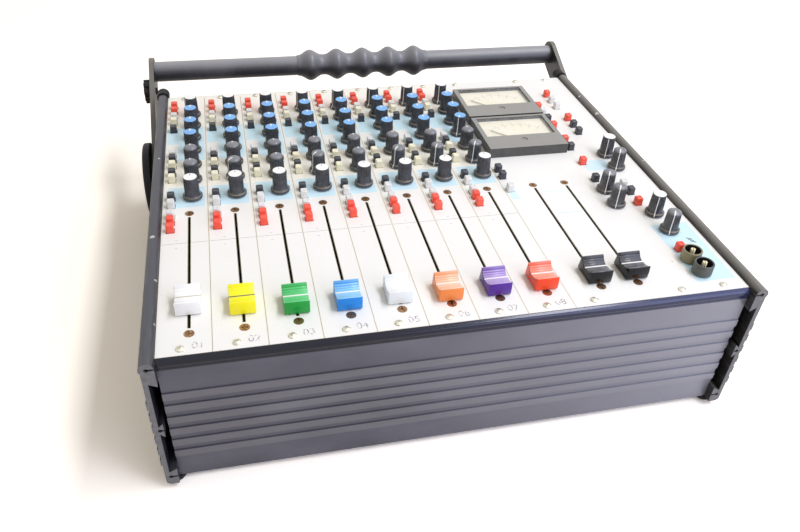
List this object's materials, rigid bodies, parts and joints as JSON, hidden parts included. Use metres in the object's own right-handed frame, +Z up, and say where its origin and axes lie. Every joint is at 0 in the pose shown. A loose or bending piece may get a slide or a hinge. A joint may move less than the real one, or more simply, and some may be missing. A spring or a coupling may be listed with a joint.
{
  "type": "mixing console",
  "caption": "Portable audio mixing console with slide faders, fluted knobs, push buttons, needle meters, ribbed side rails and a swinging carry handle.",
  "frame": {"origin": "under the middle of the outline, at the undersides of the rubber feet", "axes": "+X across the channel strips to the right as the operator sees them, +Y from the operator to the rear panel, +Z up"},
  "size_m": [0.3996, 0.3902, 0.1185],
  "materials": {
    "left_side_rail": "satin black paint on an aluminium extrusion, worn at edges",
    "right_side_rail": "satin black paint on an aluminium extrusion, worn at edges",
    "rail_end_caps": "moulded black plastic",
    "front_panel": "dark grey anodised aluminium extrusion",
    "rear_panel": "black anodised aluminium extrusion",
    "base_plate": "painted sheet",
    "rubber_feet": "moulded rubber",
    "channel_plates": "off-white painted aluminium with printed zones",
    "master_plate": "off-white painted aluminium with printed zones",
    "meter_cases": "moulded black plastic",
    "meter_windows": "clear",
    "meter_dials": "cream printed dial",
    "fader_tracks": "pressed steel",
    "circuit_boards": "glass fibre board",
    "potentiometers": "moulded body",
    "push_switches": "moulded body",
    "input_sockets": "black plated zinc",
    "output_plugs": "black plated zinc",
    "fader_screws": "copper-coloured countersunk screws",
    "panel_screws": "nickel and brass slotted screws",
    "case_screws": "blackened steel screws",
    "channel_knobs": "black with blue, grey and white caps",
    "handle_tube": "satin black paint on aluminium tube",
    "handle_grip": "moulded rubber",
    "left_handle_arm": "satin black paint",
    "right_handle_arm": "satin black paint",
    "pivot_discs": "moulded black plastic",
    "clamp_knob": "moulded black plastic",
    "fader_1": "moulded coloured cap with an index line",
    "fader_2": "moulded coloured cap with an index line",
    "fader_3": "moulded coloured cap with an index line",
    "fader_4": "moulded coloured cap with an index line",
    "fader_5": "moulded coloured cap with an index line",
    "fader_6": "moulded coloured cap with an index line",
    "fader_7": "moulded coloured cap with an index line",
    "fader_8": "moulded coloured cap with an index line",
    "master_fader_left": "moulded black cap with a white index line",
    "master_fader_right": "moulded black cap with a white index line",
    "rear_meter_needle": "black painted needle",
    "front_meter_needle": "black painted needle",
    "master_knob_1": "black, with a white pointer line and a white or grey cap",
    "master_knob_2": "black, with a white pointer line and a white or grey cap",
    "master_knob_3": "black, with a white pointer line and a white or grey cap",
    "master_knob_4": "black, with a white pointer line and a white or grey cap",
    "master_knob_5": "black, with a white pointer line and a white or grey cap",
    "master_knob_6": "black, with a white pointer line and a white or grey cap",
    "level_knob_1": "black, with a white cap",
    "level_knob_2": "black, with a white cap",
    "level_knob_3": "black, with a white cap",
    "level_knob_4": "black, with a white cap",
    "level_knob_5": "black, with a white cap",
    "level_knob_6": "black, with a white cap",
    "level_knob_7": "black, with a white cap",
    "level_knob_8": "black, with a white cap",
    "rear_collar_knob": "olive grey ring with a cream spindle",
    "front_collar_knob": "dark grey ring with a cream spindle",
    "red_buttons": "moulded red",
    "pale_buttons": "moulded cream and light grey",
    "black_buttons": "moulded black"
  },
  "bodies": {
    "case": {"left_side_rail": "left_side_rail", "right_side_rail": "right_side_rail", "rail_end_caps": "rail_end_caps", "front_panel": "front_panel", "rear_panel": "rear_panel", "base_plate": "base_plate", "rubber_feet": "rubber_feet", "channel_plates": "channel_plates", "master_plate": "master_plate", "meter_cases": "meter_cases", "meter_windows": "meter_windows", "meter_dials": "meter_dials", "fader_tracks": "fader_tracks", "circuit_boards": "circuit_boards", "potentiometers": "potentiometers", "push_switches": "push_switches", "input_sockets": "input_sockets", "output_plugs": "output_plugs", "fader_screws": "fader_screws", "panel_screws": "panel_screws", "case_screws": "case_screws", "channel_knobs": "channel_knobs"},
    "handle": {"handle_tube": "handle_tube", "handle_grip": "handle_grip", "left_handle_arm": "left_handle_arm", "right_handle_arm": "right_handle_arm", "pivot_discs": "pivot_discs"},
    "clamp_knob": {"clamp_knob": "clamp_knob"},
    "fader_1": {"fader_1": "fader_1"},
    "fader_2": {"fader_2": "fader_2"},
    "fader_3": {"fader_3": "fader_3"},
    "fader_4": {"fader_4": "fader_4"},
    "fader_5": {"fader_5": "fader_5"},
    "fader_6": {"fader_6": "fader_6"},
    "fader_7": {"fader_7": "fader_7"},
    "fader_8": {"fader_8": "fader_8"},
    "master_fader_left": {"master_fader_left": "master_fader_left"},
    "master_fader_right": {"master_fader_right": "master_fader_right"},
    "rear_meter_needle": {"rear_meter_needle": "rear_meter_needle"},
    "front_meter_needle": {"front_meter_needle": "front_meter_needle"},
    "master_knob_1": {"master_knob_1": "master_knob_1"},
    "master_knob_2": {"master_knob_2": "master_knob_2"},
    "master_knob_3": {"master_knob_3": "master_knob_3"},
    "master_knob_4": {"master_knob_4": "master_knob_4"},
    "master_knob_5": {"master_knob_5": "master_knob_5"},
    "master_knob_6": {"master_knob_6": "master_knob_6"},
    "level_knob_1": {"level_knob_1": "level_knob_1"},
    "level_knob_2": {"level_knob_2": "level_knob_2"},
    "level_knob_3": {"level_knob_3": "level_knob_3"},
    "level_knob_4": {"level_knob_4": "level_knob_4"},
    "level_knob_5": {"level_knob_5": "level_knob_5"},
    "level_knob_6": {"level_knob_6": "level_knob_6"},
    "level_knob_7": {"level_knob_7": "level_knob_7"},
    "level_knob_8": {"level_knob_8": "level_knob_8"},
    "rear_collar_knob": {"rear_collar_knob": "rear_collar_knob"},
    "front_collar_knob": {"front_collar_knob": "front_collar_knob"},
    "red_buttons": {"red_buttons": "red_buttons"},
    "pale_buttons": {"pale_buttons": "pale_buttons"},
    "black_buttons": {"black_buttons": "black_buttons"}
  },
  "joints": [
    {"name": "handle_swing", "type": "hinge", "parent": "case", "child": "handle", "pos_m": [0, 0.07286, 0.05275], "axis": [1, 0, 0], "range_deg": [-145, 100]},
    {"name": "clamp_turn", "type": "hinge", "parent": "handle", "child": "clamp_knob", "pos_m": [-0.195, 0.16076, 0.09281], "axis": [-1, 0, 0], "range_deg": [0, 270]},
    {"name": "fader_1_slide", "type": "slide", "parent": "case", "child": "fader_1", "axis": [0, 1, 0], "range_m": [-0.0164, 0.0876]},
    {"name": "fader_2_slide", "type": "slide", "parent": "case", "child": "fader_2", "axis": [0, 1, 0], "range_m": [-0.012, 0.092]},
    {"name": "fader_3_slide", "type": "slide", "parent": "case", "child": "fader_3", "axis": [0, 1, 0], "range_m": [-0.0072, 0.0968]},
    {"name": "fader_4_slide", "type": "slide", "parent": "case", "child": "fader_4", "axis": [0, 1, 0], "range_m": [-0.0054, 0.0986]},
    {"name": "fader_5_slide", "type": "slide", "parent": "case", "child": "fader_5", "axis": [0, 1, 0], "range_m": [-0.006, 0.098]},
    {"name": "fader_6_slide", "type": "slide", "parent": "case", "child": "fader_6", "axis": [0, 1, 0], "range_m": [-0.0036, 0.1004]},
    {"name": "fader_7_slide", "type": "slide", "parent": "case", "child": "fader_7", "axis": [0, 1, 0], "range_m": [-0.0035, 0.1005]},
    {"name": "fader_8_slide", "type": "slide", "parent": "case", "child": "fader_8", "axis": [0, 1, 0], "range_m": [-0.0035, 0.1005]},
    {"name": "master_fader_left_slide", "type": "slide", "parent": "case", "child": "master_fader_left", "axis": [0, 1, 0], "range_m": [-0.004, 0.1]},
    {"name": "master_fader_right_slide", "type": "slide", "parent": "case", "child": "master_fader_right", "axis": [0, 1, 0], "range_m": [-0.004, 0.1]},
    {"name": "rear_needle_swing", "type": "hinge", "parent": "case", "child": "rear_meter_needle", "pos_m": [0.09775, 0.05638, 0.1072], "axis": [0, 0, -1], "range_deg": [0, 90], "stiffness_Nm_per_rad": 0.00001},
    {"name": "front_needle_swing", "type": "hinge", "parent": "case", "child": "front_meter_needle", "pos_m": [0.09775, 0.00137, 0.1072], "axis": [0, 0, -1], "range_deg": [0, 90], "stiffness_Nm_per_rad": 0.00001},
    {"name": "master_knob_1_turn", "type": "hinge", "parent": "case", "child": "master_knob_1", "pos_m": [0.1592, -0.0187, 0.1065], "axis": [0, 0, -1], "range_deg": [0, 300]},
    {"name": "master_knob_2_turn", "type": "hinge", "parent": "case", "child": "master_knob_2", "pos_m": [0.1591, -0.03847, 0.1065], "axis": [0, 0, -1], "range_deg": [0, 300]},
    {"name": "master_knob_3_turn", "type": "hinge", "parent": "case", "child": "master_knob_3", "pos_m": [0.1363, -0.06794, 0.1065], "axis": [0, 0, -1], "range_deg": [0, 300]},
    {"name": "master_knob_4_turn", "type": "hinge", "parent": "case", "child": "master_knob_4", "pos_m": [0.1356, -0.08684, 0.1065], "axis": [0, 0, -1], "range_deg": [0, 300]},
    {"name": "master_knob_5_turn", "type": "hinge", "parent": "case", "child": "master_knob_5", "pos_m": [0.1577, -0.10194, 0.1065], "axis": [0, 0, -1], "range_deg": [0, 300]},
    {"name": "master_knob_6_turn", "type": "hinge", "parent": "case", "child": "master_knob_6", "pos_m": [0.1579, -0.12284, 0.1065], "axis": [0, 0, -1], "range_deg": [0, 300]},
    {"name": "level_knob_1_turn", "type": "hinge", "parent": "case", "child": "level_knob_1", "pos_m": [-0.1578, -0.03343, 0.1065], "axis": [0, 0, -1], "range_deg": [-150, 150]},
    {"name": "level_knob_2_turn", "type": "hinge", "parent": "case", "child": "level_knob_2", "pos_m": [-0.1278, -0.03343, 0.1065], "axis": [0, 0, -1], "range_deg": [-150, 150]},
    {"name": "level_knob_3_turn", "type": "hinge", "parent": "case", "child": "level_knob_3", "pos_m": [-0.0978, -0.03343, 0.1065], "axis": [0, 0, -1], "range_deg": [-150, 150]},
    {"name": "level_knob_4_turn", "type": "hinge", "parent": "case", "child": "level_knob_4", "pos_m": [-0.0678, -0.03343, 0.1065], "axis": [0, 0, -1], "range_deg": [-150, 150]},
    {"name": "level_knob_5_turn", "type": "hinge", "parent": "case", "child": "level_knob_5", "pos_m": [-0.0378, -0.03343, 0.1065], "axis": [0, 0, -1], "range_deg": [-150, 150]},
    {"name": "level_knob_6_turn", "type": "hinge", "parent": "case", "child": "level_knob_6", "pos_m": [-0.0078, -0.03343, 0.1065], "axis": [0, 0, -1], "range_deg": [-150, 150]},
    {"name": "level_knob_7_turn", "type": "hinge", "parent": "case", "child": "level_knob_7", "pos_m": [0.0222, -0.03343, 0.1065], "axis": [0, 0, -1], "range_deg": [-150, 150]},
    {"name": "level_knob_8_turn", "type": "hinge", "parent": "case", "child": "level_knob_8", "pos_m": [0.0522, -0.03343, 0.1065], "axis": [0, 0, -1], "range_deg": [-150, 150]},
    {"name": "rear_collar_turn", "type": "hinge", "parent": "case", "child": "rear_collar_knob", "pos_m": [0.155, -0.15514, 0.1065], "axis": [0, 0, -1], "range_deg": [0, 300]},
    {"name": "front_collar_turn", "type": "hinge", "parent": "case", "child": "front_collar_knob", "pos_m": [0.1552, -0.16894, 0.1065], "axis": [0, 0, -1], "range_deg": [0, 300]},
    {"name": "red_buttons_press", "type": "slide", "parent": "case", "child": "red_buttons", "axis": [0, 0, -1], "range_m": [0, 0.002], "stiffness_N_per_m": 2000},
    {"name": "pale_buttons_press", "type": "slide", "parent": "case", "child": "pale_buttons", "axis": [0, 0, -1], "range_m": [0, 0.002], "stiffness_N_per_m": 2000},
    {"name": "black_buttons_press", "type": "slide", "parent": "case", "child": "black_buttons", "axis": [0, 0, -1], "range_m": [0, 0.002], "stiffness_N_per_m": 2000}
  ]
}
